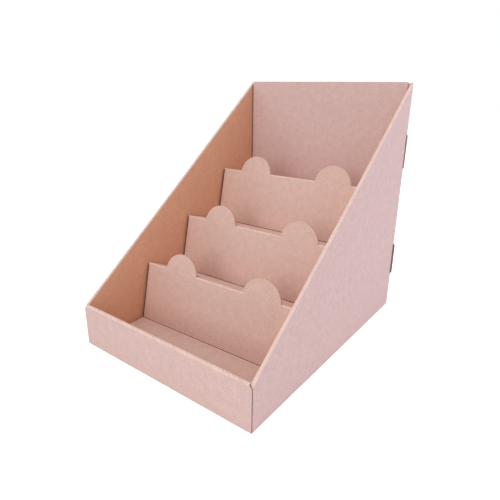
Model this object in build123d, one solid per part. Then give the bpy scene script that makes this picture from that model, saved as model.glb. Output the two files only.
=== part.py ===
from build123d import *
import os
from math import cos, radians, sin, tan

# Counter display stand of brown corrugated board, made of two folded sheets. The case is a tray
# with a low front wall, side walls that slope up to a tall back, and doubled front and side walls
# whose inner panels roll over the top edge and tuck down inside. The step insert lies in the case
# and zigzags up from a flat tray floor through three risers and ledges. Each riser has two half
# round ears, cut out of the ledge behind it.
# Millimetres. The front faces -Y and +Z is up. The origin is on the ground, under the middle.

# Board
board = 1.5                # thickness of the board, and outside radius of each of its folds
slip = 0.15                # clearance between layers that slide past each other
slot_play = 0.4            # clearance round a tab in its slot

# Case
case_width = 248.0         # over the two outer side panels
case_depth = 332.0         # front face to the rear flanges
back_height = 304.5        # top of the back panel
side_rear_height = 302.0   # rear end of the sloping top edges
front_height = 52.5        # top of the front wall, where the sloping edges start
side_core = 1.4            # air between the two layers of a side wall
corner_round = 6.0         # top corners of the front panel, and front ends of the slopes
heel_round = 4.0           # bottom rear corners of the side panels
end_relief = 0.3           # front panel's ends, back from the outer faces of the sides
back_gap = 0.8             # back panel's long edges to the side walls

# Flaps and flanges that close the corners
flap_length = 60.0         # front flaps, inside the front wall
flap_drop = 5.0            # flap's top edge below the top of the front wall
flange_width = 62.0        # rear flanges, behind the back panel
flange_taper = 10.0        # how much shorter a flap or flange is along its free edge
free_corner = 8.0          # rounding of the free corners of flaps and flanges

# Locking tabs
lock_tab_length = 43.0     # tabs on the back panel's long edges, through the side walls
lock_tab_reach = 2.0       # how far these stand out past the sides
lower_tab_height = 71.0    # middle of the lower pair
upper_tab_height = 219.0   # middle of the upper pair
floor_tab_length = 42.0    # tabs under the inner panels, through the base
side_tab_spacing = 150.0
front_tab_spacing = 120.0

# Step insert
tray_depth = 80.5          # front wall to the foot of the first riser
riser_length = 77.0        # up the front of a riser
riser_lean = 12.0          # degrees back from upright
ledge_length = 66.5        # along the first two ledges
first_ledge_fall = 25.0    # degrees down towards the back
second_ledge_fall = 17.0
third_ledge_fall = 19.0
ear_radius = 25.5
ear_sink = 3.2             # centre of an ear's arc below the fold
ear_spacing = 120.5        # between the two ears of a riser
insert_side_gap = 2.0      # insert's edges to the side walls
insert_end_gap = 0.6       # insert's ends to the front wall and the back panel

# Places worked out from the sizes
half_width = case_width / 2
front_y = -case_depth / 2
rear_y = case_depth / 2
side_wall = 2 * board + side_core
inner_half = half_width - side_wall
front_core = board + 2 * slip
front_wall = 2 * board + front_core
front_half = inner_half - slip
flap_y = front_y + board + slip
back_rear_y = rear_y - board - slip
back_y = back_rear_y - board
back_half = inner_half - back_gap
panel_bottom = board + slip
inner_panel_y = front_y + board + front_core
flap_top = front_height - flap_drop
lock_tab_heights = (lower_tab_height, upper_tab_height)
beyond = 2 * board         # how far a cutting shape runs past what it cuts


def block(x, y, z):
    """Box between two values of each coordinate."""
    middle = [(low + high) / 2 for low, high in (x, y, z)]
    size = [abs(high - low) for low, high in (x, y, z)]
    return Pos(*middle) * Box(*size)


def polygon(points):
    return make_face(Polyline(*points, close=True))


def rounded(face, corners, radius):
    """Face with the corners that lie at the given points rounded."""
    near = [min(face.vertices(), key=lambda v: (v.X - x) ** 2 + (v.Y - y) ** 2) for x, y in corners]
    return fillet(near, radius)


def upright(face, y, thickness):
    """Panel across the width: the face's two coordinates are X and Z, from y backwards."""
    plane = Plane((0, y, 0), x_dir=(1, 0, 0), z_dir=(0, -1, 0))
    return extrude(plane * face, thickness, dir=(0, 1, 0))


def lengthways(face, x, thickness):
    """Panel along the depth: the face's two coordinates are Y and Z, from x to the right."""
    return extrude(Plane.YZ.offset(x) * face, thickness)


def both_sides(shape):
    return shape + mirror(shape, about=Plane.YZ)


def side_outline(spare):
    """Side panel from its front fold to its rear edge, run on by spare at the rear and below."""
    slope = (side_rear_height - front_height) / (rear_y - flap_y)
    front_corner = (flap_y, front_height)
    rear_corner = (rear_y + spare, side_rear_height + spare * slope)
    face = polygon([(flap_y, -spare), front_corner, rear_corner, (rear_y + spare, -spare)])
    return rounded(face, [front_corner], corner_round)


def roll_edges(face):
    """Sloping top edge of a side wall's face, with the rounded corner that leads into it."""
    def leans(edge):
        along = edge.tangent_at(0.5)
        return abs(along.Y) > 0.1 and abs(along.Z) > 0.1 and edge.center().Z > front_height / 2
    return face.edges().filter_by(leans)


def right_side():
    """Doubled side wall, its front flap and its rear flange."""
    outline = rounded(side_outline(0), [(rear_y, 0)], heel_round)
    wall = lengthways(outline, inner_half, side_wall)
    faces = wall.faces().sort_by(Axis.X)
    wall = fillet(faces[-1].edges() + roll_edges(faces[0]), board)
    wall -= lengthways(offset(side_outline(beyond), -board), half_width - board - side_core, side_core)
    inside = (inner_half - beyond, half_width - board)
    inner_layer = (inner_half - beyond, inner_half + board)
    wall -= block(inside, (front_y, rear_y + beyond), (-beyond, panel_bottom))
    wall -= block(inside, (rear_y - board - slip, rear_y + beyond), (-beyond, back_height))
    wall -= block(inner_layer, (flap_y + board, flap_y + board + 2 * slip), (-beyond, flap_top + slip))
    wall += upright(flap_face(flap_length, panel_bottom, flap_top), flap_y, board)
    wall += upright(flap_face(flange_width, heel_round, side_rear_height - board), rear_y - board, board)
    for height in lock_tab_heights:
        wall -= lock_slot(height)
    return wall + floor_tabs_side()


def flap_face(length, bottom, top):
    """Flap that reaches in from the side panel, narrower along its rounded free edge."""
    root = half_width - board
    tip = half_width - length
    high = (tip, top - flange_taper)
    low = (tip, bottom + flange_taper)
    return rounded(polygon([(root, bottom), low, high, (root, top)]), [low, high], free_corner)


def lock_slot(height):
    reach = lock_tab_length / 2 + slot_play
    depth = (back_y - slot_play, back_rear_y + slip)
    return block((inner_half - beyond, half_width + beyond), depth, (height - reach, height + reach))


def floor_tab_places(spacing):
    half = floor_tab_length / 2
    return [(middle - half, middle + half) for middle in (-spacing / 2, spacing / 2)]


def floor_tabs_side():
    layer = (inner_half, inner_half + board)
    return [block(layer, place, (0, 2 * board)) for place in floor_tab_places(side_tab_spacing)]


def floor_tabs_front():
    layer = (inner_panel_y, inner_panel_y + board)
    return [block(place, layer, (0, 2 * board)) for place in floor_tab_places(front_tab_spacing)]


def widened(interval):
    return (interval[0] - slot_play, interval[1] + slot_play)


def base():
    """Floor of the case, with the slots that take the inner panels' tabs."""
    inner_x = half_width - board
    floor = block((-inner_x, inner_x), (front_y + board, back_rear_y - board), (0, board))
    depth = (-beyond, 2 * beyond)
    slots = []
    for place in floor_tab_places(side_tab_spacing):
        slots.append(block(widened((inner_half, inner_half + board)), widened(place), depth))
    floor -= both_sides(Part() + slots)
    for place in floor_tab_places(front_tab_spacing):
        floor -= block(widened(place), widened((inner_panel_y, inner_panel_y + board)), depth)
    return floor


def front():
    """Doubled front wall: the outer panel, the fold along the top and the inner panel."""
    end = half_width - end_relief
    wall = block((-end, end), (front_y, front_y + front_wall), (0, front_height))
    along = wall.edges().filter_by(Axis.X)
    wall = fillet(along.group_by(Axis.Z)[-1] + along.group_by(Axis.Z)[0].sort_by(Axis.Y)[:1], board)
    top_corners = [(-end, front_height), (end, front_height)]
    outline = polygon([(-end, 0), (end, 0), top_corners[1], top_corners[0]])
    wall &= upright(rounded(outline, top_corners, corner_round), front_y, front_wall)
    behind = (front_y + board, front_y + front_wall + beyond)
    wall -= block((-end, end), (front_y + board, inner_panel_y), (-beyond, front_height - board))
    wall -= block((-end, end), behind, (-beyond, panel_bottom))
    wall -= both_sides(block((front_half, half_width), behind, (-beyond, front_height + beyond)))
    return wall + floor_tabs_front()


def back():
    """Single back panel, folded up from the base, with its locking tabs."""
    heel = (back_rear_y, 0)
    inner = [(back_y, back_height), (back_y, board), (back_y - board, board)]
    profile = polygon([(back_y - board, 0), heel, (back_rear_y, back_height), *inner])
    panel = lengthways(rounded(profile, [heel], board), -back_half, 2 * back_half)
    for height in lock_tab_heights:
        root = back_half - board
        tip = half_width + lock_tab_reach
        low, high = height - lock_tab_length / 2, height + lock_tab_length / 2
        ends = [(tip, low), (tip, high)]
        tab = rounded(polygon([(root, low), *ends, (root, high)]), ends, lock_tab_reach)
        panel += both_sides(upright(tab, back_y, board))
    return panel


def case():
    return both_sides(right_side()) + base() + front() + back()


def zigzag_points():
    """Upper and front face of the insert, from the tray's front edge to the foot of the rear leg."""
    y, z = front_y + front_wall + tray_depth, 2 * board
    leg_y = back_y - insert_end_gap
    points = [(front_y + front_wall + insert_end_gap, z), (y, z)]
    for length, fall in (
        (ledge_length, first_ledge_fall), (ledge_length, second_ledge_fall), (None, third_ledge_fall)
    ):
        y += riser_length * sin(radians(riser_lean))
        z += riser_length * cos(radians(riser_lean))
        points.append((y, z))
        run = length * cos(radians(fall)) if length else leg_y - y
        y += run
        z -= run * tan(radians(fall))
        points.append((y, z))
    return points + [(leg_y, board)]


def under_face(points):
    """The same line one board thickness lower and further back, mitred at the folds."""
    steps = [(Vector(*b) - Vector(*a)).normalized() for a, b in zip(points, points[1:])]
    normals = [Vector(step.Y, -step.X) for step in steps]
    before, after = [normals[0]] + normals, normals + [normals[-1]]
    moves = [(a + b) * (board / (1 + a.dot(b))) for a, b in zip(before, after)]
    return [(y + move.X, z + move.Y) for (y, z), move in zip(points, moves)]


def ear_disc(top, direction, low, high):
    """Disc of the ears' radius in the plane of a panel that meets the fold at top."""
    ahead = Vector(0, *direction)
    normal = Vector(1, 0, 0).cross(ahead)
    centre = Vector(0, *top) - ahead * ear_sink + normal * low
    discs = Part()
    for x in (-ear_spacing / 2, ear_spacing / 2):
        plane = Plane(centre + Vector(x, 0, 0), x_dir=(1, 0, 0), z_dir=normal)
        discs += extrude(plane * Circle(ear_radius), high - low)
    return discs


def insert():
    """Folded steps, with an ear standing at each opening that it leaves in the ledge."""
    upper = zigzag_points()
    lower = under_face(upper)
    outline = polygon(upper + lower[::-1])
    outline = rounded(outline, upper[2:-1:2] + [upper[-2]] + lower[1:-2:2], board)
    half = inner_half - insert_side_gap
    sheet = lengthways(outline, -half, 2 * half)
    for foot, top, rear in zip(upper[1:-2:2], upper[2:-1:2], upper[3:-1:2]):
        riser = Vector(top[0] - foot[0], top[1] - foot[1]).normalized()
        ledge = Vector(rear[0] - top[0], rear[1] - top[1]).normalized()
        sheet -= ear_disc(top, (ledge.X, ledge.Y), -2 * board, 2 * board)
        sheet += ear_disc(top, (riser.X, riser.Y), -board, 0)
    return sheet


os.makedirs("parts", exist_ok=True)
export_step(case(), "parts/outer_case.step")
export_step(insert(), "parts/step_insert.step")
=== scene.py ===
"""Looks of a stepped counter display stand, folded from two sheets of brown corrugated board."""

import math

import bpy
import numpy as np
from bpy.props import FloatProperty, FloatVectorProperty, PointerProperty, StringProperty
from mathutils import Matrix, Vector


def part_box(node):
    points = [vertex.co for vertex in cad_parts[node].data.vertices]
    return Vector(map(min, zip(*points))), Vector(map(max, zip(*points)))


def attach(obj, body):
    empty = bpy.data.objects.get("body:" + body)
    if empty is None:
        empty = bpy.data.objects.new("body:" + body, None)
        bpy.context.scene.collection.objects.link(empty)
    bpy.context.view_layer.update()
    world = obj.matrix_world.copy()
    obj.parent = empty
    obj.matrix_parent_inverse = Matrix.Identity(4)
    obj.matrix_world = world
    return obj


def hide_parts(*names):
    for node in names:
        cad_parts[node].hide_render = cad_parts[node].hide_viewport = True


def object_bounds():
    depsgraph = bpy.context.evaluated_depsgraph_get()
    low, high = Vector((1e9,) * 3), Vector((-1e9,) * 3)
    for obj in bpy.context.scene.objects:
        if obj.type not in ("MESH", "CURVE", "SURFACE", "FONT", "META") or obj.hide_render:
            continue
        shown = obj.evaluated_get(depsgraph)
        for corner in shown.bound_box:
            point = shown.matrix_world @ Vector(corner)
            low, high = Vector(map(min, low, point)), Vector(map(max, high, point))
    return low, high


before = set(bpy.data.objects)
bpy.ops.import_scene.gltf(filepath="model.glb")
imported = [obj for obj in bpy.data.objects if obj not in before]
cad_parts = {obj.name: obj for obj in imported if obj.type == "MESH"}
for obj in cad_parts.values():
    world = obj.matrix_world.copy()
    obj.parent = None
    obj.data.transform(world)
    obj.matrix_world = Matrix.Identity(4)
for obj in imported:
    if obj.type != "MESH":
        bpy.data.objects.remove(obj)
CAD_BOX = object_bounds()
CASE_LOW, CASE_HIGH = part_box("outer_case")
STEPS_LOW, STEPS_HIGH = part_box("step_insert")

bl_info = {
    "name": "Corrugated display stand",
    "version": (1, 0, 0),
    "blender": (4, 5, 0),
    "location": "View3D > Sidebar > Stand",
    "description": "Builds a stepped counter display stand of folded brown corrugated board",
    "category": "Add Mesh",
}

MM = 0.001
X, Y, Z = np.eye(3)
LINER, CUT, STRETCH_AND_HIGHLIGHT, INSIDE_SHADE, FLUTE_AND_SHADE, PAINTED_CREASE_SHADE = range(6)   # material slots of every piece of board
SLIT = 0.02 * MM           # between two columns of points where a fold ends at a slit
WELD = 0.002 * MM
WELD_SHIFT = 0.37          # keeps round sizes away from the limits between two weld cells
FLAT_MAP = "flat_sheet"
TWIN_SHIFT = (0.7, 0.3)    # on the flat sheet, so that the left side isn't mottled like the right
SIDE_SHIFT, FRONT_SHIFT = 0.35, 0.2     # the same for the inner panels, which would match the outer
SIDE_BOW, END_BOW = 0.9 * MM, 0.7 * MM

# how fine the surfaces are: points of rounds and ribbons, and the widest cells of flat panels
QUARTER = np.linspace(0, math.pi / 2, 7)
CORNER_POINTS, EAR_POINTS, FOLD_CELLS, FLUTE_POINTS = 9, 41, 7, 6
PANEL_ROWS, EAR_ROWS, FEWEST_ROWS, FLOOR_TAB_POINTS = 8, 6, 4, 6
CELL = {"side": 9 * MM, "base": 9 * MM, "front": 8 * MM, "back": 8 * MM, "back_rows": 10 * MM,
        "flap": 12 * MM, "step": 7 * MM}


# Sizes, finish and light that a user may change

def length(label, default, description):
    return FloatProperty(name=label, description=description, default=default, min=0.0,
                         unit="LENGTH", subtype="DISTANCE")


def angle(label, degrees, description):
    return FloatProperty(name=label, description=description, default=math.radians(degrees),
                         unit="ROTATION", subtype="ANGLE")


def colour(label, code, description):
    return StringProperty(name=label, description=description, default=code)


class StandCaseSizes(bpy.types.PropertyGroup):
    """Sizes of the case."""
    board: length("Board", 1.5 * MM, "Thickness of the board")
    slip: length("Slip", 0.15 * MM, "Clearance between layers of board")
    side_core: length("Side core", 0.6 * MM, "Air between the two layers of a side wall, pressed flat")
    lock_reach: length("Lock tab reach", 2 * MM, "How far a lower lock tab stands out past the side")
    upper_reach: length("Upper tab reach", 1.1 * MM, "How far an upper lock tab stands out")
    front_height: length("Front height", 52.5 * MM, "Top of the front wall")
    side_height: length("Side height", 303.4 * MM, "Rear end of the sloping edges")
    corner_round: length("Corner rounding", 6 * MM, "Top corners of the front panel and the slopes")
    heel_round: length("Heel rounding", 4 * MM, "Bottom rear corners of the sides")
    end_relief: length("End relief", 0.3 * MM, "Front panel's ends back from the sides")
    back_gap: length("Back gap", 2.2 * MM, "Back panel's long edges to the side walls")
    flange_width: length("Flange width", 62 * MM, "Rear flanges behind the back panel")
    flap_length: length("Flap length", 60 * MM, "Front flaps inside the front wall")
    flap_drop: length("Flap drop", 5 * MM, "Flap's top edge below the front wall's")
    taper: length("Taper", 10 * MM, "How much shorter a flap is along its free edge")
    free_corner: length("Free corner", 8 * MM, "Rounding of a flap's free corners")
    tab_length: length("Lock tab length", 43 * MM, "Tabs on the back panel's long edges")
    lower_tab: length("Lower tab", 71 * MM, "Height of the lower lock tabs")
    upper_tab: length("Upper tab", 219 * MM, "Height of the upper lock tabs")
    slot_play: length("Slot play", 0.4 * MM, "Clearance round a tab in its slot")
    foot_length: length("Floor tab length", 42 * MM, "Tabs of the inner panels in the base")
    side_feet: length("Side tab spacing", 150 * MM, "Between the two floor tabs of a side")
    front_feet: length("Front tab spacing", 120 * MM, "Between the two floor tabs of the front")


class StandStepSizes(bpy.types.PropertyGroup):
    """Sizes of the stepped insert."""
    side_gap: length("Side gap", 2 * MM, "Insert's side edges to the side walls")
    end_gap: length("End gap", 0.6 * MM, "Insert's ends to the front wall and the back panel")
    tray_depth: length("Tray depth", 80.5 * MM, "Front wall to the foot of the first riser")
    riser_length: length("Riser length", 77 * MM, "Up the front of a riser")
    riser_lean: angle("Riser lean", 12, "Back from upright")
    ledge_length: length("Ledge length", 66.5 * MM, "Along the first two ledges")
    first_fall: angle("First ledge fall", 25, "Down towards the back")
    second_fall: angle("Second ledge fall", 17, "Down towards the back")
    third_fall: angle("Third ledge fall", 19, "Down towards the back")
    ear_radius: length("Ear radius", 25.5 * MM, "Arc of an ear")
    ear_sink: length("Ear sink", 3.2 * MM, "Centre of an ear's arc below the fold")
    ear_spacing: length("Ear spacing", 120.5 * MM, "Between the two ears of a riser")
    skew: length("Skew", 4.9 * MM, "How far the first riser's right end is pushed back")


class StandBoardFinish(bpy.types.PropertyGroup):
    """Make-up and colours of the board."""
    flute_pitch: length("Flute pitch", 3.2 * MM, "From wave to wave of the fluted middle layer")
    liner: length("Liner", 0.22 * MM, "Thickness of the flat outer layers")
    medium: length("Medium", 0.2 * MM, "Thickness of the fluted middle layer")
    recess: length("Recess", 0.3 * MM, "How deep a cut across the flutes is open")
    deep_recess: length("Deep recess", 1.2 * MM, "How deep a cut along the flutes is open")
    closed_end: length("Closed end", 0.6 * MM, "Where a cut ends, along which it closes")
    crease_depth: length("Crease depth", 0.6 * MM, "Depth of the scored line in an inner corner")
    crease_width: length("Crease width", 0.8 * MM, "Height of the scored line up the riser")
    # painted shade: the width of the dark strip at a riser's side edges, for the gap beside it
    edge_shade_width: length("Crushed edge", 1.1 * MM, "Strip of a riser's side edges that the die crushed")
    # painted highlight: the width of a pale band before an inner corner
    highlight_band_width: length("Bead width", 1.8 * MM, "Pale band of stretched liner before an inner corner")
    kraft: colour("Liner colour", "#DBBAB3", "Brown kraft liner of the case")
    steps: colour("Step liner colour", "#E0BEB1", "Brown kraft liner of the steps")
    # painted shade: the inner panels are coloured warmer and darker for the light bounced inside the
    # case
    inside: colour("Inside liner colour", "#E6AF8E", "Liner of the panels inside the side walls")
    # stretched liner is paler, and this colour is painted paler still as a highlight on folds, rolled
    # tops and the band before an inner corner
    crease: colour("Crease colour", "#EBCABC", "Liner stretched over a fold")
    cut: colour("Cut edge colour", "#D9B4A4", "Die-cut edge, where the fluted layer shows")
    # fluted layer, darkened with painted shade in the depth of a deep cut; also the painted shade on
    # the lock tabs and on the inner panels behind the back panel
    hollow_shade: colour("Fluted layer colour", "#96706A", "Fluted layer, seen in the depth of a cut")
    # painted shade on the strips at a riser's side edges, where the gap to the wall is dark
    steps_edge_shade: colour("Step fluted layer colour", "#4A1A10", "Fluted layer at a crushed edge")
    # painted shade of the groove where a riser meets the flat before it
    crease_shade: colour("Score colour", "#9A4A34", "Scored line in an inner corner")
    mottle: FloatProperty(name="Mottle", default=0.18, min=0.0, max=1.0, subtype="FACTOR",
                          description="Contrast of the liner's mottling")


class StandLight(bpy.types.PropertyGroup):
    """Light and floor."""
    dome: FloatProperty(name="Dome strength", default=0.44, min=0.0,
                        description="Light of the white surroundings on the object")
    dome_tint: FloatVectorProperty(name="Dome tint", default=(0.965, 0.997, 1.04), subtype="COLOR",
                                   description="Tint of the surroundings' light")
    front_lamp: FloatProperty(name="Front lamp", default=8.7, min=0.0, unit="POWER",
                              description="Large soft lamp in front")
    top_lamp: FloatProperty(name="Top lamp", default=6.8, min=0.0, unit="POWER",
                            description="Large soft lamp overhead")
    left_lamp: FloatProperty(name="Left lamp", default=3.2, min=0.0, unit="POWER",
                             description="Large soft lamp at the front left")
    right_lamp: FloatProperty(name="Right lamp", default=10.2, min=0.0, unit="POWER",
                              description="Large soft lamp at the rear right, cooler than the others")
    floor: colour("Floor colour", "#FBFBFB", "Plain pale floor")


# Board as a folded sheet

class Sheet:
    """Faces of folded board, gathered grid by grid. Each point also has its place on the flat sheet,
    across the flutes and along them."""

    def __init__(self):
        self.points, self.flat, self.faces = [], [], []
        self.size = 0

    def take(self, points, flat, faces, slot):
        self.points.append(points.reshape(-1, 3))
        self.flat.append(np.broadcast_to(flat, (*points.shape[:-1], 2)).reshape(-1, 2))
        self.faces.append((faces + self.size, slot))
        self.size += self.points[-1].shape[0]

    def grid(self, points, flat, inside, slot=LINER, keep=None):
        """Quads between the points of a grid of rows and columns, facing away from the inside."""
        rows, columns = points.shape[:2]
        at = np.arange(rows * columns).reshape(rows, columns)
        quads = np.stack([at[:-1, :-1], at[:-1, 1:], at[1:, 1:], at[1:, :-1]], -1)
        quads = quads.reshape(-1, 4) if keep is None else quads[keep]
        corners = points.reshape(-1, 3)[quads]
        normals = np.cross(corners[:, 2] - corners[:, 0], corners[:, 3] - corners[:, 1])
        inner = np.broadcast_to(inside, points.shape).reshape(-1, 3)[quads].mean(1)
        if np.sum(normals * (corners.mean(1) - inner)) < 0:
            quads = quads[:, ::-1]
        self.take(points, flat, quads, slot)

    def cap(self, outline, inside, slot=CUT):
        """One flat face with the given outline, facing away from the inside."""
        following = np.roll(outline, -1, 0)
        normal = np.cross(outline - outline[0], following - outline[0]).sum(0)
        face = np.arange(len(outline))[None]
        if normal @ (outline.mean(0) - inside) < 0:
            face = face[:, ::-1]
        self.take(outline, outline[:, :2], face, slot)

    def mirror(self):
        """Adds the left-hand twin of everything so far."""
        faces = [(kept[:, ::-1], slot) for kept, slot in self.faces]
        points, flat = np.concatenate(self.points), np.concatenate(self.flat)
        start = self.size
        self.points.append(points * (-1, 1, 1))
        self.flat.append(flat + TWIN_SHIFT)
        self.faces += [(kept + start, slot) for kept, slot in faces]
        self.size += len(points)

    def mesh(self, name):
        """The gathered faces as one mesh, with the flat sheet as UV map. Shared points are welded,
        but not those of a cut with those of the liner beside it, so that the arris stays crisp."""
        points, flat = settled(np.concatenate(self.points)), np.concatenate(self.flat)
        in_cut = np.zeros(self.size)
        for faces, slot in self.faces:
            in_cut[faces] = slot in (CUT, FLUTE_AND_SHADE)
        keys = np.round(np.column_stack([points / WELD + WELD_SHIFT, in_cut]))
        _, first, welded = np.unique(keys, axis=0, return_index=True, return_inverse=True)
        welded = welded.ravel()
        corners, slots = [], []
        for faces, slot in self.faces:
            pairs = [dict(zip(*pair)) for pair in zip(welded[faces].tolist(), faces.tolist())]
            kept = [pair for pair in pairs if len(pair) > 2]
            corners += kept
            slots += [slot] * len(kept)
        made = bpy.data.meshes.new(name)
        made.from_pydata(points[first], [], [list(pair) for pair in corners])
        made.polygons.foreach_set("material_index", slots)
        at = np.concatenate([list(pair.values()) for pair in corners])
        made.uv_layers.new(name=FLAT_MAP).uv.foreach_set("vector", flat[at].ravel())
        made.polygons.foreach_set("use_smooth", np.ones(len(slots), bool))
        made.validate()        # drops a sliver that the weld laid over its twin
        made.set_sharp_from_angle(angle=math.radians(32))
        return made


def settled(points):
    """The board's small departures from flat. Both side walls bow to the right, and the front and
    rear bow in, as a product of a parabola along the wall and one up it. A power of the place
    across the case fades that out towards its middle."""
    middle = (np.array(CASE_LOW) + np.array(CASE_HIGH)) / 2
    half = (np.array(CASE_HIGH) - np.array(CASE_LOW)) / 2
    u, v, w = ((points - middle) / half).T
    along_side = np.clip(1 - v * v, 0, 1)
    along_front = np.clip(1 - u * u, 0, 1)
    up = np.clip(1 - w * w, 0, 1)
    moved = points.copy()
    moved[:, 0] += SIDE_BOW * abs(u) ** 3 * along_side * up
    moved[:, 1] -= END_BOW * v ** 5 * along_front * up
    return moved


def places(keys, step):
    """All the key values, with even values between them no further apart than the step."""
    keys = np.unique(np.round(np.asarray(keys, float), 7))
    runs = [np.linspace(a, b, int(np.ceil((b - a) / step)) + 1)[:-1] for a, b in zip(keys, keys[1:])]
    return np.concatenate([*runs, keys[-1:]])


def spread(values, count):
    """Values between two rows, shared out evenly in count rows."""
    low, high = values
    share = np.linspace(0, 1, count)[:, None]
    return low * (1 - share) + high * share


def tangents(line):
    """Unit directions along a line of points."""
    ahead = np.diff(line, axis=0, append=line[-1:])
    behind = np.diff(line, axis=0, prepend=line[:1])
    steps = [np.linalg.norm(part, axis=1, keepdims=True) for part in (ahead, behind)]
    both = sum(part / np.where(size > 0, size, 1) for part, size in zip((ahead, behind), steps))
    return both / np.linalg.norm(both, axis=1, keepdims=True)


def cut_edge(sheet, front, back, across, facing, deepest):
    """Die-cut edge of corrugated board along a line that has the board on its left, seen from the
    front. The edge is open between the liners, least where the cut crosses the flutes and deepest
    where it runs along them, and in it the fluted layer shows as a ribbon that swings from liner to
    liner as the sine of the place across the flutes."""
    finish = bpy.context.scene.stand_finish
    # a path holds a point twice where it passes from one border to the next
    new = np.r_[True, np.linalg.norm(np.diff(front, axis=0), axis=1) > SLIT / 4]
    front, back, across = front[new], back[new], across[new]
    inward = np.cross(facing, tangents(front))
    run = np.r_[0, np.cumsum(np.linalg.norm(np.diff(front, axis=0), axis=1))]
    fine = np.unique(np.r_[run, np.arange(0, run[-1], finish.flute_pitch / FLUTE_POINTS)].round(6))
    front, back, inward = (
        np.stack([np.interp(fine, run, part) for part in line.T], -1) for line in (front, back, inward)
    )
    across = np.interp(fine, run, across)
    through = back - front
    thick = np.linalg.norm(through, axis=1, keepdims=True)
    through = through / thick
    ends = np.minimum(fine, fine[-1] - fine)[:, None]
    along = np.clip(1 - abs(np.gradient(across, fine)), 0, 1)[:, None]
    recess = finish.recess + (deepest - finish.recess) * along ** 2
    deep = np.clip(ends / finish.closed_end, 0, 1) * recess * inward
    lip = finish.liner * through
    flat = np.stack([across, fine], -1)[:, None]
    rim = [front, front + lip, front + lip + deep, back - lip + deep, back - lip, back]
    body = (front + back) / 2 + 3 * recess * inward
    # a deep cut's depth gets the fluted layer's colour, darkened with painted shade
    depth = FLUTE_AND_SHADE if deepest > finish.recess else CUT
    for part, slot in ((rim[:2], CUT), (rim[1:5], depth), (rim[4:], CUT)):
        sheet.grid(np.stack(part, 1), flat, body[:, None], slot)
    turn = 2 * math.pi / finish.flute_pitch
    reach = thick / 2 - finish.liner - finish.medium / 2
    wave = reach * np.sin(turn * across)[:, None]
    slope = reach * turn * np.cos(turn * across)[:, None] * np.gradient(across, fine)[:, None]
    half = np.minimum(finish.medium / 2 * np.sqrt(1 + slope ** 2), reach) * through
    centre = (front + back) / 2 + wave * through
    near = deep / 9            # the ribbon starts just behind the liners' ends
    ribbon = [centre - half + deep, centre - half + near, centre + half + near, centre + half + deep]
    for part, slot in ((ribbon[:2], depth), (ribbon[1:3], CUT), (ribbon[2:], depth)):
        sheet.grid(np.stack(part, 1), flat, (centre + 3 * deep)[:, None], slot)


def borders(shape):
    """Rows and columns of the four borders of a grid, with the board on the left."""
    rows, columns = shape
    up, along = np.arange(rows), np.arange(columns)
    return {
        "bottom": (0 * along, along),
        "right": (up, 0 * up + columns - 1),
        "top": (0 * along + rows - 1, along[::-1]),
        "left": (up[::-1], 0 * up),
    }


def plate(sheet, origin, right, up, a, b, raw=(), plain=(), holes=(), turned=False, offset=0.0,
          slot=LINER, sunk=0.0, patches=(), deep=False):
    """Flat panel of board. Its front face has the points origin + a right + b up, and its back face
    lies one thickness behind. Raw lists the paths of open cut edges, plain those closed flat, and
    holes the rows and columns of its openings. A path is a row of border names, or the rows and
    columns of its points. Sunk is how deep the front face lies in the board, at a crease. Patches
    are cells with another material than the rest. Deep cuts are open further where they run along
    the flutes."""
    finish = bpy.context.scene.stand_finish
    deepest = finish.deep_recess if deep else finish.recess
    board = bpy.context.scene.stand_case.board
    facing = np.cross(right, up)
    front = origin + a[..., None] * right + b[..., None] * up
    back = front - board * facing
    inside = front - board / 2 * facing
    front = front - (0 * a + sunk)[..., None] * facing
    flat = np.stack([b + offset, a] if turned else [a, b + offset], -1)
    keep = np.ones((a.shape[0] - 1, a.shape[1] - 1), bool)
    for (low, high), (first, last) in holes:
        keep[low:high, first:last] = False
        ring = np.arange(low, high + 1), np.arange(first, last + 1)
        rows = np.r_[ring[0], ring[0][-1] + 0 * ring[1], ring[0][::-1], ring[0][0] + 0 * ring[1]]
        columns = np.r_[ring[1][0] + 0 * ring[0], ring[1], ring[1][-1] + 0 * ring[0], ring[1][::-1]]
        wall = np.stack([front[rows, columns], back[rows, columns]], 1)
        outside = 2 * wall - wall.mean((0, 1))
        sheet.grid(wall, flat[rows, columns][:, None], outside, CUT)
    made_of = np.full(keep.shape, slot)
    for cells, other in patches:
        made_of[cells] = other
    for face in (front, back):
        for one in np.unique(made_of[keep]):
            sheet.grid(face, flat, inside, int(one), keep & (made_of == one))
    sides = borders(a.shape)
    for path, is_raw in [(path, True) for path in raw] + [(path, False) for path in plain]:
        rows, columns = path if isinstance(path[0], np.ndarray) else (
            np.concatenate([sides[name][k] for name in path]) for k in (0, 1))
        if is_raw:
            across = flat[rows, columns][:, 0]
            cut_edge(sheet, front[rows, columns], back[rows, columns], across, facing, deepest)
        else:
            strip = np.stack([front[rows, columns], back[rows, columns]], 1)
            sheet.grid(strip, flat[rows, columns][:, None], inside.mean((0, 1)), CUT)


def arc_between(first, last, steps):
    """Unit directions swung from the first to the last."""
    turn = math.acos(np.clip(first @ last, -1, 1))
    share = np.linspace(0, 1, steps + 1)[:, None]
    return (np.sin((1 - share) * turn) * first + np.sin(share * turn) * last) / math.sin(turn)


def fold(sheet, crease, first, last, across, along, slot=STRETCH_AND_HIGHLIGHT):
    """Outer face of a fold: an arc of one board thickness about the inner crease, with closed ends.
    On the flat sheet the arc is about one and a half times as long."""
    board = bpy.context.scene.stand_case.board
    arms = board * arc_between(first, last, FOLD_CELLS)
    points = crease[:, None] + arms
    round_it = along + np.linspace(0, board * 1.5, FOLD_CELLS + 1)
    flat = np.stack(np.broadcast_arrays(across[:, None], round_it), -1)
    # by default the arc is the paler stretched liner, painted paler still as a highlight
    sheet.grid(points, flat, crease[:, None], slot)
    for end, inner in ((0, 1), (-1, -2)):
        outline = np.concatenate([crease[end][None], points[end]])
        sheet.cap(outline, crease[inner])


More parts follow.
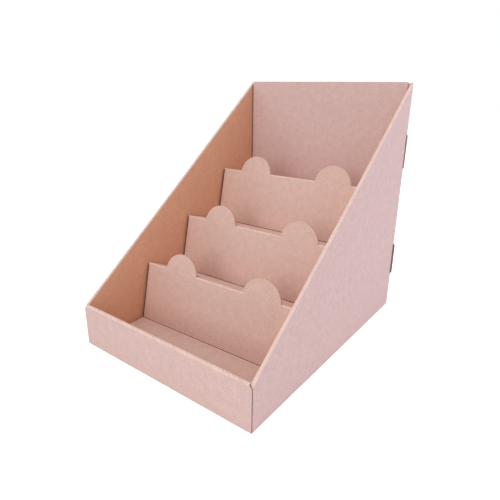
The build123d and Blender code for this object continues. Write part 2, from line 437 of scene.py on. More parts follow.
def roll(sheet, path, outward, through, width, flat, ends=(True, True)):
    """Rolled top of a doubled wall, carried along a path: two quarter rounds and the flat between
    them, closed below by the inside of the sheet."""
    board = bpy.context.scene.stand_case.board
    high = np.r_[np.sin(QUARTER), np.cos(QUARTER)] * board
    deep = np.r_[board * (1 - np.cos(QUARTER)), width - board + board * np.sin(QUARTER)]
    outer = path[:, None] + high[:, None] * outward[:, None] + deep[:, None] * through
    under = path[:, None] + np.array([board, width - board])[:, None] * through
    inside = path[:, None] + width / 2 * through + 0.4 * board * outward[:, None]
    # the rounds are the paler stretched liner, painted paler still as a highlight
    sheet.grid(outer, flat[:, None] + (high + deep)[:, None] * (1, 0), inside, STRETCH_AND_HIGHLIGHT)
    sheet.grid(under, flat[:, None], inside)
    for end, inner in ((0, 1), (-1, -2)):
        if ends[end]:
            sheet.cap(np.concatenate([outer[end], under[end][::-1]]), inside[inner, 0])


def folded_piece(sheet, name, node, slot):
    """Makes the piece from the gathered sheet, rides it and names what it stands for."""
    piece = bpy.data.objects.new(name, sheet.mesh(name))
    bpy.context.scene.collection.objects.link(piece)
    finish = bpy.context.scene.stand_finish
    in_case = slot == "case_board"
    liner, hollow_shade = (finish.kraft, finish.hollow_shade) if in_case else (finish.steps, finish.steps_edge_shade)
    # in the order of the slots: liner, cut edge, crease with painted highlight, inside liner with
    # painted shade, fluted layer with painted shade, and scored line with painted shade
    for make, kind, code in (
            (kraft_liner, "kraft_liner_", liner),
            (cut_board, "cut_board_", finish.cut),
            (kraft_liner, "kraft_crease_", finish.crease),
            (kraft_liner, "kraft_inside_", finish.inside),
            (cut_board, "fluted_layer_", hollow_shade),
            (cut_board, "scored_line_", finish.crease_shade)):
        piece.data.materials.append(make(kind + slot, code))
    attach(piece, "root")
    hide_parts(node)
    return piece


# Places worked out from the sizes

def layout():
    """Places that the pieces of the case share, from its box and its sizes."""
    size = bpy.context.scene.stand_case
    at = {"size": size, "board": size.board}
    at["half_width"] = CASE_HIGH.x - size.lock_reach
    at["front_y"], at["rear_y"] = CASE_LOW.y, CASE_HIGH.y
    at["back_height"] = CASE_HIGH.z
    at["side_wall"] = 2 * size.board + size.side_core
    at["inner_half"] = at["half_width"] - at["side_wall"]
    at["front_wall"] = 3 * size.board + 2 * size.slip
    at["inner_panel_y"] = at["front_y"] + at["front_wall"] - size.board
    at["front_half"] = at["inner_half"] - size.slip
    at["flap_y"] = at["front_y"] + size.board + size.slip
    at["back_rear_y"] = at["rear_y"] - size.board - size.slip
    at["back_y"] = at["back_rear_y"] - size.board
    at["back_half"] = at["inner_half"] - size.back_gap
    at["tabs"] = (size.lower_tab, size.upper_tab)
    return at


def feet(spacing, length_of_tab):
    """The two places of a pair of floor tabs."""
    return [(m - length_of_tab / 2, m + length_of_tab / 2) for m in (-spacing / 2, spacing / 2)]


def floor_tab(sheet, origin, right, low, high, turned=False):
    """Tab at the foot of an inner panel that reaches down into its slot in the base."""
    a = np.broadcast_to(np.linspace(low, high, FLOOR_TAB_POINTS), (2, FLOOR_TAB_POINTS))
    b = spread((0 * a[0], 0 * a[0] + bpy.context.scene.stand_case.board), 2)
    plate(sheet, origin, right, Z, a, b, raw=[("left", "bottom", "right")], turned=turned)


def flap_plate(sheet, y, reach, bottom, top):
    """Flap or flange that reaches in from a side, narrower along its rounded free edge. Its upper
    and lower edges are straight lines that an arc leads into the free edge."""
    at = layout()
    size = at["size"]
    root = at["half_width"] - size.board
    reach -= size.board
    slope = math.atan2(size.taper, reach)
    r = size.free_corner
    swing = np.linspace(math.pi / 2 - slope, 0, 10)
    centre_a = reach - r
    centre_b = size.taper - size.taper / reach * r + r / math.cos(slope)
    arc_a = centre_a + r * np.cos(swing)
    arc_b = centre_b - r * np.sin(swing)
    a_line = np.r_[np.linspace(0, arc_a[0], 8)[:-1], arc_a]
    low = np.interp(a_line, np.r_[0, arc_a], np.r_[0, arc_b])
    count = max(FEWEST_ROWS, int((top - bottom) / CELL["flap"]))
    b = spread((bottom + low, top - low), count)
    a = np.broadcast_to(a_line, b.shape)
    plate(sheet, np.array([root, y, 0]), -X, Z, a, b,
          raw=[("bottom", "right", "top")], plain=[("left",)])


def side_outline():
    """Columns of points along a side panel, and the heights of its top and bottom edges there, one
    board thickness inside the case's outline. The top is an arc on the front corner and then the
    straight slope. The bottom is straight and then an arc up the heel."""
    at = layout()
    size, board = at["size"], at["board"]
    slope = (size.side_height - size.front_height) / (at["rear_y"] - at["flap_y"])
    lean = math.atan(slope)
    r, heel = size.corner_round, size.heel_round - board
    swing = np.linspace(math.pi, math.pi / 2 + lean, CORNER_POINTS)
    arc_y = at["flap_y"] + r + (r - board) * np.cos(swing)
    arc_z = size.front_height + slope * r - r / math.cos(lean) + (r - board) * np.sin(swing)
    heel_y, slot_y = at["rear_y"] - size.heel_round, at["back_y"] - size.slot_play
    turn_y = heel_y - 2 * MM       # a column that ends the even rows, just before the heel
    floor_y = np.ravel(feet(size.side_feet, size.foot_length))
    heel_arc = heel_y + heel * np.sin(QUARTER)
    keys = [arc_y[-1], *floor_y, turn_y, *heel_arc, slot_y, at["rear_y"] - board]
    y = np.r_[arc_y[:-1], places(keys, CELL["side"])]
    top = np.where(y <= arc_y[-1], np.interp(y, arc_y, arc_z),
                   size.front_height + slope * (y - at["flap_y"]) - board / math.cos(lean))
    past = np.clip(y - heel_y, 0, heel)
    bottom = np.where(y > heel_y, size.heel_round - np.sqrt(heel ** 2 - past ** 2), board)
    return {"y": y, "top": top, "bottom": bottom, "lean": lean, "swing": swing, "past": past / heel,
            "turn_y": turn_y, "slot": int(np.argmin(abs(y - slot_y)))}


def side_rims(sheet, side, panel_heights):
    """Rolled slope of a side wall, and the quarter rounds of the folds from the tip of the slope down
    the rear, round the heel, along the bottom and up the front. The roll's outward direction turns on
    the front corner and then stays square to the slope."""
    at = layout()
    board = at["board"]
    y, top, lean, swing = (side[name] for name in ("y", "top", "lean", "swing"))

    def in_plane(along_y, along_z):
        return along_y[:, None] * Y + along_z[:, None] * Z

    turned = np.r_[swing[:-1], np.full(len(y) - len(swing) + 1, math.pi / 2 + lean)]
    out_y, out_z = np.cos(turned), np.sin(turned)
    out_y[-1], out_z[-1] = 0, 1 / math.cos(lean)
    path = at["half_width"] * X + in_plane(y, top)
    roll(sheet, path, in_plane(out_y, out_z), -X, at["side_wall"], np.stack([top, y], -1))

    rear, tip = at["rear_y"] - board, math.tan(math.pi / 4 + lean / 2)
    rear_z, front_z = panel_heights[::-1, -1], panel_heights[1:, 0]
    bottom_y, bottom_z, past = (side[name][::-1][1:] for name in ("y", "bottom", "past"))
    path_y = np.r_[rear, rear, 0 * rear_z + rear, bottom_y, 0 * front_z + y[0]]
    path_z = np.r_[rear_z[0], rear_z[0], rear_z, bottom_z, front_z]
    out_y = np.r_[0, 1, 0 * rear_z + 1, past, 0 * front_z - 1]
    out_z = np.r_[1 / math.cos(lean), tip, 0 * rear_z, -np.sqrt(1 - past ** 2), 0 * front_z]
    out_y[len(rear_z) + len(bottom_y) + 1] = -1        # the lower front corner points both ways
    path, outward = at["half_width"] * X + in_plane(path_y, path_z), in_plane(out_y, out_z)
    high = np.r_[np.sin(QUARTER), 0] * board
    deep = np.r_[1 - np.cos(QUARTER), 1] * board
    rim = path[:, None] + high[:, None] * outward[:, None] - deep[:, None] * X
    flat = np.stack([path_z, path_y], -1)[:, None] + (high + deep)[:, None] * (1, 0)
    sheet.grid(rim, flat, (path - 0.6 * board * X + 0.3 * board * outward)[:, None])


def side_walls():
    """Doubled side walls with their rolled slopes, front flaps and rear flanges. A panel's rows are
    level up to the slots for the lock tabs, and squeezed in proportion under the slope."""
    at, side = layout(), side_outline()
    size, board = at["size"], at["board"]
    y, top = side["y"], side["top"]
    sheet = Sheet()
    reach = size.tab_length / 2 + size.slot_play
    marks = [edge for h in at["tabs"] for edge in (h - reach, h + reach)]
    top_at_turn = np.interp(side["turn_y"], y, top)
    over_heel = size.heel_round + 3 * MM        # the first level row
    z_line = places([board, over_heel, *marks, top_at_turn], CELL["side"])
    share = np.clip((top - board) / (top_at_turn - board), 0, 1)
    b = board + (z_line[:, None] - board) * share
    b[0], b[-1] = side["bottom"], top
    a = np.broadcast_to(y, b.shape)
    holes = []
    for h in at["tabs"]:
        rows = [int(np.argmin(abs(z_line - edge))) for edge in (h - reach, h + reach)]
        holes.append((rows, (side["slot"], len(y) - 1)))
    outer, inner = at["half_width"] * X, (at["inner_half"] + board) * X
    plate(sheet, outer, Y, Z, a, b, holes=holes, turned=True)
    # behind the back panel the inner panel is painted dark as shade, and the rest of it has a warmer,
    # darker liner painted as the shade of light bounced inside the case
    plate(sheet, inner, Y, Z, a, b, raw=[("right",)], plain=[("bottom",), ("left",)], holes=holes,
          turned=True, offset=SIDE_SHIFT, slot=INSIDE_SHADE, patches=[(np.s_[:, side["slot"]:], FLUTE_AND_SHADE)])
    side_rims(sheet, side, b)
    flap_plate(sheet, at["rear_y"], size.flange_width, size.heel_round, size.side_height)
    flap_plate(sheet, at["flap_y"] + board, size.flap_length, board + size.slip,
               size.front_height - size.flap_drop)
    for low, high in feet(size.side_feet, size.foot_length):
        floor_tab(sheet, inner, Y, low, high, turned=True)
    sheet.mirror()
    return folded_piece(sheet, "case_side_walls", "outer_case", "case_board")


def front_wall():
    """Doubled front wall: outer panel, rolled top and inner panel. The outer panel's height falls off
    at both ends by the arcs of its rounded corners, beyond the ends of the roll."""
    at = layout()
    size, board = at["size"], at["board"]
    sheet = Sheet()
    end = at["half_width"] - size.end_relief
    r = size.corner_round
    edge = at["front_half"]
    swing = np.linspace(0, math.acos((edge + SLIT - end + r) / r), CORNER_POINTS)
    arc_x = end - r + r * np.cos(swing)
    floor_x = np.ravel(feet(size.front_feet, size.foot_length))
    x = places([-end, end, *arc_x, *(-arc_x), *floor_x, -edge, edge], CELL["front"])
    shoulder = np.clip(abs(x) - (end - r), 0, r)
    rolled = abs(x) <= edge + SLIT / 2
    top = np.where(rolled, size.front_height - board,
                   size.front_height - r + np.sqrt(r * r - shoulder ** 2))
    b = spread((0 * x + board, top), PANEL_ROWS)
    a = np.broadcast_to(x, b.shape)
    sides = borders(b.shape)
    first, last = np.flatnonzero(rolled)[[0, -1]]
    top_columns = sides["top"][1]
    beyond_right, beyond_left = top_columns > last, top_columns < first
    right = [np.r_[sides["right"][k], sides["top"][k][beyond_right]] for k in (0, 1)]
    left = [np.r_[sides["top"][k][beyond_left], sides["left"][k]] for k in (0, 1)]
    outer = np.array([0, at["front_y"], 0])
    plate(sheet, outer, X, Z, a, b, raw=[right, left], deep=True)
    middle = x[rolled]
    b = spread((0 * middle + board, 0 * middle + size.front_height - board), PANEL_ROWS)
    a = np.broadcast_to(middle, b.shape)
    inner = np.array([0, at["inner_panel_y"], 0])
    plate(sheet, inner, X, Z, a, b, plain=[("bottom",), ("left",), ("right",)], offset=FRONT_SHIFT)
    path = outer + middle[:, None] * X + (size.front_height - board) * Z
    outward = np.broadcast_to(Z, path.shape)
    flat = np.stack([middle, 0 * middle + size.front_height], -1)
    roll(sheet, path, outward, Y, at["front_wall"], flat)
    crease = x[:, None] * X + (at["front_y"] + board) * Y + board * Z
    fold(sheet, crease, -Y, -Z, x, 0, slot=LINER)
    for low, high in feet(size.front_feet, size.foot_length):
        floor_tab(sheet, inner, X, low, high)
    return folded_piece(sheet, "case_front_wall", "outer_case", "case_board")


def back_panel():
    """Single back panel with its heel fold and the four lock tabs that come out at the sides, each
    narrower towards its tip by a quarter round."""
    at = layout()
    size, board = at["size"], at["board"]
    sheet = Sheet()
    half, reach = at["back_half"], size.tab_length / 2
    marks = [edge for h in at["tabs"] for edge in (h - reach, h + reach)]
    x = places([-half, half], CELL["back"])
    z = places([board, *marks, at["back_height"]], CELL["back_rows"])
    a, b = np.meshgrid(x, z)
    origin = np.array([0, at["back_y"], 0])
    plate(sheet, origin, X, Z, a, b, raw=[("right", "top", "left")], deep=True)
    crease = x[:, None] * X + at["back_y"] * Y + board * Z
    fold(sheet, crease, Y, -Z, x, 0)
    for h, r in zip(at["tabs"], (size.lock_reach, size.upper_reach)):
        tip = at["half_width"] + r - half
        line = np.r_[0, np.linspace(0.3, 1, 4) * (tip - r), tip - r + r * np.sin(QUARTER[1:])]
        drop = np.r_[np.zeros(5), r - r * np.cos(QUARTER[1:])]
        for side in (1, -1):
            b = spread((h - reach + drop, h + reach - drop), PANEL_ROWS)
            a = np.broadcast_to(half + line, b.shape)
            if side < 0:
                a, b = -a[:, ::-1], b[:, ::-1]
            free = ("bottom", "right", "top") if side > 0 else ("top", "left", "bottom")
            root = ("left",) if side > 0 else ("right",)
            # the tabs are painted dark, as the shade of the slots that they pass through
            plate(sheet, origin, X, Z, a, b, raw=[free], plain=[root], slot=FLUTE_AND_SHADE, deep=True)
    return folded_piece(sheet, "case_back_panel", "outer_case", "case_board")


def base_panel():
    """Floor of the case, with the slots that take the inner panels' tabs."""
    at = layout()
    size, board, play = at["size"], at["board"], bpy.context.scene.stand_case.slot_play
    sheet = Sheet()
    half = at["half_width"] - board
    side_slot = (at["inner_half"] - play, at["inner_half"] + board + play)
    front_slot = (at["inner_panel_y"] - play, at["inner_panel_y"] + board + play)
    side_feet = [(low - play, high + play) for low, high in feet(size.side_feet, size.foot_length)]
    front_feet = [(low - play, high + play) for low, high in feet(size.front_feet, size.foot_length)]
    edges = np.r_[side_slot, -side_slot[0], -side_slot[1]]
    x = places([-half, half, *edges, *np.ravel(front_feet)], CELL["base"])
    y = places([at["front_y"] + board, at["back_y"], *front_slot, *np.ravel(side_feet)], CELL["base"])

    def cells(line, pair):
        return sorted(int(np.argmin(abs(line - edge))) for edge in pair)

    holes = [(cells(y, front_slot), cells(x, pair)) for pair in front_feet]
    for pair in side_feet:
        for side in (1, -1):
            holes.append((cells(y, pair), cells(x, (side * side_slot[0], side * side_slot[1]))))
    a, b = np.meshgrid(x, y)
    plate(sheet, board * Z, X, Y, a, b, plain=[(name,) for name in borders(a.shape)], holes=holes)
    return folded_piece(sheet, "case_base", "outer_case", "case_board")


def zigzag():
    """Upper face of the steps, from the tray's front edge to the foot of the rear leg."""
    at = layout()
    steps, board = bpy.context.scene.stand_steps, at["board"]
    y, z = at["front_y"] + at["front_wall"] + steps.tray_depth, 2 * board
    leg = at["back_y"] - steps.end_gap
    line = [(at["front_y"] + at["front_wall"] + steps.end_gap, z), (y, z)]
    for fall in (steps.first_fall, steps.second_fall, steps.third_fall):
        y += steps.riser_length * math.sin(steps.riser_lean)
        z += steps.riser_length * math.cos(steps.riser_lean)
        line.append((y, z))
        run = steps.ledge_length * math.cos(fall) if len(line) < 7 else leg - y
        y += run
        z -= run * math.tan(fall)
        line.append((y, z))
    return np.array([*line, (leg, board)])


def pushed_askew(points):
    """The insert sits a little askew. Its right side is further back than its left, most at the foot
    of the first riser, and the shift fades out evenly to the front edge and to the back panel."""
    x, y, _ = points.T
    rising = np.clip((y - STEPS_LOW.y) / bpy.context.scene.stand_steps.tray_depth, 0, 1)
    fading = (CASE_HIGH.y - y) / (CASE_HIGH.y - CASE_LOW.y)
    skew = bpy.context.scene.stand_steps.skew
    return points + np.outer(skew * x / STEPS_HIGH.x * rising * fading, Y)


def step_columns():
    """Columns of points across the steps, with how far the ears rise over the fold in each, and the
    runs of columns that are ears and that are folds. An ear is a circle's part over its chord."""
    steps, edge_shade_width = bpy.context.scene.stand_steps, bpy.context.scene.stand_finish.edge_shade_width
    half = layout()["inner_half"] - steps.side_gap
    chord = math.sqrt(steps.ear_radius ** 2 - steps.ear_sink ** 2)
    sweep = chord * np.cos(np.linspace(0, math.pi, EAR_POINTS))
    middles = (-steps.ear_spacing / 2, steps.ear_spacing / 2)
    # columns that bound the strips of painted shade at the side edges
    keys = [-half, edge_shade_width - half, half - edge_shade_width, half]
    for middle in middles:
        keys += [*(middle + sweep), middle - chord - SLIT, middle + chord + SLIT]
    x = places(keys, CELL["step"])
    offset = np.min([abs(x - middle) for middle in middles], 0)
    on_ear = offset <= chord + SLIT / 3
    bump = np.sqrt(np.clip(steps.ear_radius ** 2 - offset ** 2, 0, None)) - steps.ear_sink
    bump = np.where(on_ear, np.clip(bump, 0, None), 0)
    edges = np.flatnonzero(np.diff(np.r_[False, on_ear, False])).reshape(-1, 2)
    ears = [np.arange(*pair) for pair in edges]
    bridges = [np.arange(*pair) for pair in zip(np.r_[0, edges[:, 1]], np.r_[edges[:, 0], len(x)])]
    return x, bump, ears, bridges


def step_insert():
    """Folded steps. Between two folds the sheet is flat. At an ear the fold is left out, the riser
    runs on as a half round, and the ledge starts at the arc that the ear was cut from."""
    board, finish = bpy.context.scene.stand_case.board, bpy.context.scene.stand_finish
    sheet = Sheet()
    line = zigzag()
    x, bump, ears, bridges = step_columns()
    ways = np.diff(line, axis=0)
    lengths = np.linalg.norm(ways, axis=1)
    ways = ways / lengths[:, None]
    along = [way[0] * Y + way[1] * Z for way in ways]
    facing = [np.cross(X, way) for way in along]
    turns = [math.acos(np.clip(one @ two, -1, 1)) for one, two in zip(along, along[1:])]
    # a fold that turns down takes this much off the flats beside it, one that turns up takes nothing
    setback = [board * math.tan(turn / 2) if k % 2 else 0 for k, turn in enumerate(turns)] + [0]
    travelled = np.r_[0, np.cumsum(lengths)]        # where each flat starts on the flat sheet
    last = len(ways) - 1
    depth = finish.crease_depth
    for k, way in enumerate(along):
        origin = line[k][0] * Y + line[k][1] * Z
        is_riser, is_ledge = k % 2 == 1 and k < last, k % 2 == 0 and 0 < k < last
        start = np.full(len(x), setback[k - 1] if k else 0.0)
        stop = np.full(len(x), lengths[k] - setback[k])
        low, high, below, above = start, stop, [], []
        raw, patches = [("left",), ("right",)], []
        if k == 0:
            raw.append(("bottom",))
        if k == last:
            raw.append(("top",))
        if is_ledge:
            low = np.maximum(start, bump)
            raw += [(0 * ear, ear) for ear in ears]
        if is_riser:                        # its foot is scored, the groove painted with shade, and its side edges get strips of painted shade
            low = start + finish.crease_width
            below = [start + depth / math.tan(turns[k - 1])]
            patches = [(0, PAINTED_CREASE_SHADE), (np.s_[:, [0, -1]], FLUTE_AND_SHADE)]
        elif k + 1 < last:                  # the flat before a riser runs on under the riser's foot, with a band of painted highlight before the crease and painted shade under the foot
            high = stop - finish.highlight_band_width
            above = [stop, stop + depth / math.sin(turns[k])]
            patches = [(-2, STRETCH_AND_HIGHLIGHT), (-1, PAINTED_CREASE_SHADE)]
        rows = max(FEWEST_ROWS, int(lengths[k] / CELL["step"]))
        b = np.array([*below, *spread((low, high), rows), *above])
        sunk = np.zeros(b.shape)
        sunk[0] = depth * is_riser
        plate(sheet, origin, X, way, np.broadcast_to(x, b.shape), b, raw=raw, offset=travelled[k],
              sunk=sunk, patches=patches)
        if is_riser:
            for ear in ears:
                b = spread((stop[ear], lengths[k] + bump[ear]), EAR_ROWS)
                plate(sheet, origin, X, way, np.broadcast_to(x[ear], b.shape), b,
                      raw=[("right", "top", "left")], offset=travelled[k])
        if k == last:
            continue
        corner = line[k + 1][0] * Y + line[k + 1][1] * Z
        if k % 2:      # the sheet turns down over the crease, and its upper face is the outside
            crease = corner - setback[k] * way - board * facing[k]
            arms = facing[k], facing[k + 1]
            parts = bridges if is_riser and k + 1 < last else [np.arange(len(x))]
        else:          # the sheet turns up, and its lower face is the outside
            crease = corner
            arms = -facing[k], -facing[k + 1]
            parts = [np.arange(len(x))]
        for part in parts:
            fold(sheet, crease + x[part][:, None] * X, *arms, x[part], travelled[k + 1])
    sheet.points = [pushed_askew(points) for points in sheet.points]
    return folded_piece(sheet, "step_insert_board", "step_insert", "insert_board")


# Materials

def linear(code):
    """Linear red, green and blue of an sRGB hex colour."""
    parts = [int(code[k:k + 2], 16) / 255 for k in (1, 3, 5)]
    return [p / 12.92 if p <= 0.04045 else ((p + 0.055) / 1.055) ** 2.4 for p in parts] + [1.0]


def per(millimetres):
    """Scale of a pattern whose features are this size."""
    return 1 / (millimetres * MM)


def add(tree, kind, sockets=(), **settings):
    """Adds a node with its settings, and sets or links its sockets."""
    made = tree.nodes.new(kind)
    for name, value in settings.items():
        setattr(made, name, value)
    for name, value in dict(sockets).items():
        if isinstance(value, bpy.types.NodeSocket):
            tree.links.new(value, made.inputs[name])
        else:
            made.inputs[name].default_value = value
    return made


def new_material(name, roughness):
    material = bpy.data.materials.new(name)
    material.use_nodes = True
    tree = material.node_tree
    surface = tree.nodes["Principled BSDF"]
    surface.inputs["Roughness"].default_value = roughness
    surface.inputs["Specular IOR Level"].default_value = 0.25
    return material, tree, surface


def finish_surface(tree, surface, code, value, height, depth, strength):
    """Colours the surface with the code, lighter and darker by the value, and gives it a relief."""
    shade = add(tree, "ShaderNodeHueSaturation", {"Color": linear(code), "Value": value})
    bump = add(tree, "ShaderNodeBump", {"Height": height, "Distance": depth, "Strength": strength})
    tree.links.new(shade.outputs["Color"], surface.inputs["Base Color"])
    tree.links.new(bump.outputs["Normal"], surface.inputs["Normal"])


def kraft_liner(name, code):
    """Kraft liner, an uncoated brown paper off a paper machine: matt, mottled where the pulp lay
    thicker, flecked with fibres, and faintly ribbed where it is glued to the flutes. Stretched over
    a fold it is paler, and painted paler still as a highlight. Inside the side walls it is painted
    warmer and darker, as the shade of light bounced inside the case."""
    if name in bpy.data.materials:
        return bpy.data.materials[name]
    finish = bpy.context.scene.stand_finish
    material, tree, surface = new_material(name, 0.9)
    flat = add(tree, "ShaderNodeUVMap", uv_map=FLAT_MAP).outputs["UV"]
    clouds = add(tree, "ShaderNodeTexNoise", {"Vector": flat, "Scale": per(9), "Detail": 3.0})
    speckle = add(tree, "ShaderNodeTexNoise", {"Vector": flat, "Scale": per(1.8), "Detail": 4.0,
                                               "Roughness": 0.65})
    # fibres are about 3 mm long and 0.03 mm wide, drawn 0.8 mm wide so that they show; they lie
    # across the flutes, the way that the paper ran through its machine
    stretched = add(tree, "ShaderNodeMapping", {"Vector": flat, "Scale": (per(3.4), per(0.8), 1.0)})
    fibres = add(tree, "ShaderNodeTexNoise", {"Vector": stretched.outputs["Vector"], "Scale": 1.0,
                                              "Detail": 2.0, "Roughness": 0.6})
    across = add(tree, "ShaderNodeSeparateXYZ", {"Vector": flat}).outputs["X"]
    turned = add(tree, "ShaderNodeMath", {0: across, 1: 2 * math.pi / finish.flute_pitch},
                 operation="MULTIPLY")
    ribs = add(tree, "ShaderNodeMath", {0: turned.outputs[0]}, operation="SINE")
    tone = 0.0
    for source, share in ((clouds.outputs["Fac"], 0.6), (speckle.outputs["Fac"], 1.6),
                          (fibres.outputs["Fac"], 0.8), (ribs.outputs[0], 0.06)):
        tone = add(tree, "ShaderNodeMath", {0: source, 1: share, 2: tone}, operation="MULTIPLY_ADD")
        tone = tone.outputs[0]
    # the noises are about 0.5 in the middle, so the tone is about 1.5, and the liner keeps its colour
    value = add(tree, "ShaderNodeMapRange", {"Value": tone, "From Min": 1.0, "From Max": 2.0,
                                             "To Min": 1 - finish.mottle, "To Max": 1 + finish.mottle})
    grain = add(tree, "ShaderNodeMath", {0: ribs.outputs[0], 1: 0.4, 2: speckle.outputs["Fac"]},
                operation="MULTIPLY_ADD")
    finish_surface(tree, surface, code, value.outputs["Result"], grain.outputs[0], 0.05 * MM, 0.8)
    return material


def cut_board(name, code):
    """Die-cut edge of the board: torn fibre ends, rougher and a little darker than the liner. The
    fluted layer, of coarser pulp, looks the same way, darker still and redder; so does the painted
    shade in deep cuts, crease grooves, on lock tabs and beside the risers."""
    if name in bpy.data.materials:
        return bpy.data.materials[name]
    material, tree, surface = new_material(name, 1.0)
    place = add(tree, "ShaderNodeTexCoord").outputs["Object"]
    torn = add(tree, "ShaderNodeTexNoise", {"Vector": place, "Scale": per(0.8), "Detail": 3.0})
    value = add(tree, "ShaderNodeMapRange", {"Value": torn.outputs["Fac"], "From Min": 0.3,
                                             "From Max": 0.7, "To Min": 0.88, "To Max": 1.12})
    finish_surface(tree, surface, code, value.outputs["Result"], torn.outputs["Fac"], 0.1 * MM, 0.7)
    return material


# Stage

CAMERA_PLACE = (317.62 * MM, -435.63 * MM, 303.68 * MM)
CAMERA_TURN = (37.96, 19.17, 0.18)      # degrees: to the right of the front, down, roll
FOCAL = 453.16 / 500                    # focal length over the picture's width
CENTRE = (237.57 / 500, 239.73 / 500)   # where the lens axis meets the picture, from the top left
FLOOR_LIFT = 0.63                       # added to what the camera sees of the floor
FLOOR_REACH, FLOOR_DROP = 6.0, 0.3 * MM
LAMPS = {                               # place, size and tint of each square lamp
    "front_lamp": ((0.1, -1.5, 0.75), 1.0, (0.99, 0.985, 0.965)),
    "top_lamp": ((0.0, 0.0, 1.7), 1.2, (1.0, 1.0, 1.0)),
    "left_lamp": ((-1.3, -0.9, 0.7), 1.0, (0.90, 0.95, 1.0)),
    "right_lamp": ((1.4, 0.6, 0.6), 1.0, (0.78, 0.84, 1.0)),
}


def aim_camera():
    scene = bpy.context.scene
    data = bpy.data.cameras.new("camera")
    data.sensor_width = 36
    data.lens = 36 * FOCAL
    data.shift_x = 0.5 - CENTRE[0]
    data.shift_y = CENTRE[1] - 0.5
    data.clip_start, data.clip_end = 0.01, 20
    camera = bpy.data.objects.new("camera", data)
    scene.collection.objects.link(camera)
    yaw, pitch, roll_angle = (math.radians(part) for part in CAMERA_TURN)
    turn = Matrix.Rotation(yaw, 4, "Z") @ Matrix.Rotation(math.pi / 2 - pitch, 4, "X")
    camera.matrix_world = Matrix.Translation(CAMERA_PLACE) @ turn @ Matrix.Rotation(roll_angle, 4, "Z")
    scene.camera = camera


def looked_at(tree):
    """One where the camera looks, also by way of a mirror or through glass, and zero for the rays
    that only carry light."""
    path = add(tree, "ShaderNodeLightPath").outputs
    mirrored = add(tree, "ShaderNodeMath", {0: path["Is Glossy Ray"], 1: path["Is Transmission Ray"]},
                   operation="MAXIMUM")
    return add(tree, "ShaderNodeMath", {0: path["Is Camera Ray"], 1: mirrored.outputs[0]},
               operation="MAXIMUM").outputs[0]


def white_world(light):
    """White surroundings: the camera sees plain white, and the object gets the dome's light."""
    world = bpy.data.worlds.new("surroundings")
    world.use_nodes = True
    tree = world.node_tree
    tree.nodes.clear()
    lit = add(tree, "ShaderNodeBackground", {"Color": (*light.dome_tint, 1), "Strength": light.dome})
    seen = add(tree, "ShaderNodeBackground", {"Color": (1, 1, 1, 1), "Strength": 1.0})
    pick = add(tree, "ShaderNodeMixShader", {0: looked_at(tree), 1: lit.outputs[0], 2: seen.outputs[0]})
    add(tree, "ShaderNodeOutputWorld", {"Surface": pick.outputs[0]})
    bpy.context.scene.world = world


def pale_floor(light):
    """Plain pale floor, just under the stand. The camera sees it lifted to white, with the shadow."""
    mesh = bpy.data.meshes.new("floor")
    corners = [(x * FLOOR_REACH, y * FLOOR_REACH, 0) for x, y in ((-1, -1), (1, -1), (1, 1), (-1, 1))]
    mesh.from_pydata(corners, [], [(0, 1, 2, 3)])
    floor = bpy.data.objects.new("floor", mesh)
    floor.location.z = -FLOOR_DROP
    bpy.context.scene.collection.objects.link(floor)
    material = bpy.data.materials.new("pale_floor")
    material.use_nodes = True
    tree = material.node_tree
    tree.nodes.clear()
    painted = add(tree, "ShaderNodeBsdfDiffuse", {"Color": linear(light.floor)})
    seen = add(tree, "ShaderNodeMath", {0: looked_at(tree), 1: FLOOR_LIFT}, operation="MULTIPLY")
    lifted = add(tree, "ShaderNodeEmission", {"Strength": seen.outputs[0]})
    both = add(tree, "ShaderNodeAddShader", {0: painted.outputs[0], 1: lifted.outputs[0]})
    add(tree, "ShaderNodeOutputMaterial", {"Surface": both.outputs[0]})
    mesh.materials.append(material)


def soft_lamp(name, power):
    """Square lamp that faces the middle of the stand."""
    place, size, tint = LAMPS[name]
    data = bpy.data.lights.new(name, "AREA")
    data.shape, data.size, data.energy, data.color = "SQUARE", size, power, tint
    lamp = bpy.data.objects.new(name, data)
    bpy.context.scene.collection.objects.link(lamp)
    lamp.location = place
    middle = (CAD_BOX[0] + CAD_BOX[1]) / 2
    lamp.rotation_euler = (lamp.location - middle).to_track_quat("Z", "Y").to_euler()


# Operators

class STAND_OT_side_walls(bpy.types.Operator):
    """Doubled side walls with their flaps and flanges"""
    bl_idname = "stand.side_walls"
    bl_label = "Side walls"

    def execute(self, context):
        side_walls()
        return {"FINISHED"}


class STAND_OT_front_wall(bpy.types.Operator):
    """Doubled front wall with its rolled top"""
    bl_idname = "stand.front_wall"
    bl_label = "Front wall"

    def execute(self, context):
        front_wall()
        return {"FINISHED"}


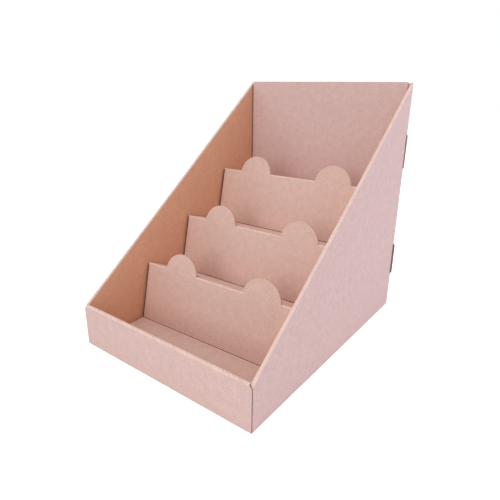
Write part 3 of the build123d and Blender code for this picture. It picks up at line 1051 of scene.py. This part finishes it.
class STAND_OT_back_and_base(bpy.types.Operator):
    """Back panel with its lock tabs, and the base"""
    bl_idname = "stand.back_and_base"
    bl_label = "Back and base"

    def execute(self, context):
        back_panel()
        base_panel()
        return {"FINISHED"}


class STAND_OT_steps(bpy.types.Operator):
    """Stepped insert with its ears"""
    bl_idname = "stand.steps"
    bl_label = "Steps"

    def execute(self, context):
        step_insert()
        return {"FINISHED"}


class STAND_OT_stage(bpy.types.Operator):
    """Floor, surroundings, lamps and camera"""
    bl_idname = "stand.stage"
    bl_label = "Stage"

    def execute(self, context):
        light = context.scene.stand_light
        aim_camera()
        white_world(light)
        pale_floor(light)
        for name in LAMPS:
            soft_lamp(name, getattr(light, name))
        context.scene.view_settings.view_transform = "Standard"
        return {"FINISHED"}


class STAND_PT_panel(bpy.types.Panel):
    """Lists what builds the stand"""
    bl_idname = "STAND_PT_panel"
    bl_label = "Display stand"
    bl_space_type = "VIEW_3D"
    bl_region_type = "UI"
    bl_category = "Stand"

    def draw(self, context):
        for operator in OPERATORS:
            self.layout.operator(operator.bl_idname)
        for group in GROUPS:
            box = self.layout.box()
            box.label(text=group)
            settings = getattr(context.scene, group)
            for name in settings.bl_rna.properties.keys():
                if name not in {"rna_type", "name"}:
                    box.prop(settings, name)


OPERATORS = (STAND_OT_side_walls, STAND_OT_front_wall, STAND_OT_back_and_base, STAND_OT_steps,
             STAND_OT_stage)
GROUPS = {"stand_case": StandCaseSizes, "stand_steps": StandStepSizes,
          "stand_finish": StandBoardFinish, "stand_light": StandLight}


def register():
    for kind in (*GROUPS.values(), *OPERATORS, STAND_PT_panel):
        bpy.utils.register_class(kind)
    for name, kind in GROUPS.items():
        setattr(bpy.types.Scene, name, PointerProperty(type=kind))


def unregister():
    for name in GROUPS:
        delattr(bpy.types.Scene, name)
    for kind in reversed((*GROUPS.values(), *OPERATORS, STAND_PT_panel)):
        bpy.utils.unregister_class(kind)


def main():
    register()
    bpy.ops.stand.side_walls()
    bpy.ops.stand.front_wall()
    bpy.ops.stand.back_and_base()
    bpy.ops.stand.steps()
    bpy.ops.stand.stage()


if __name__ == "__main__":
    main()
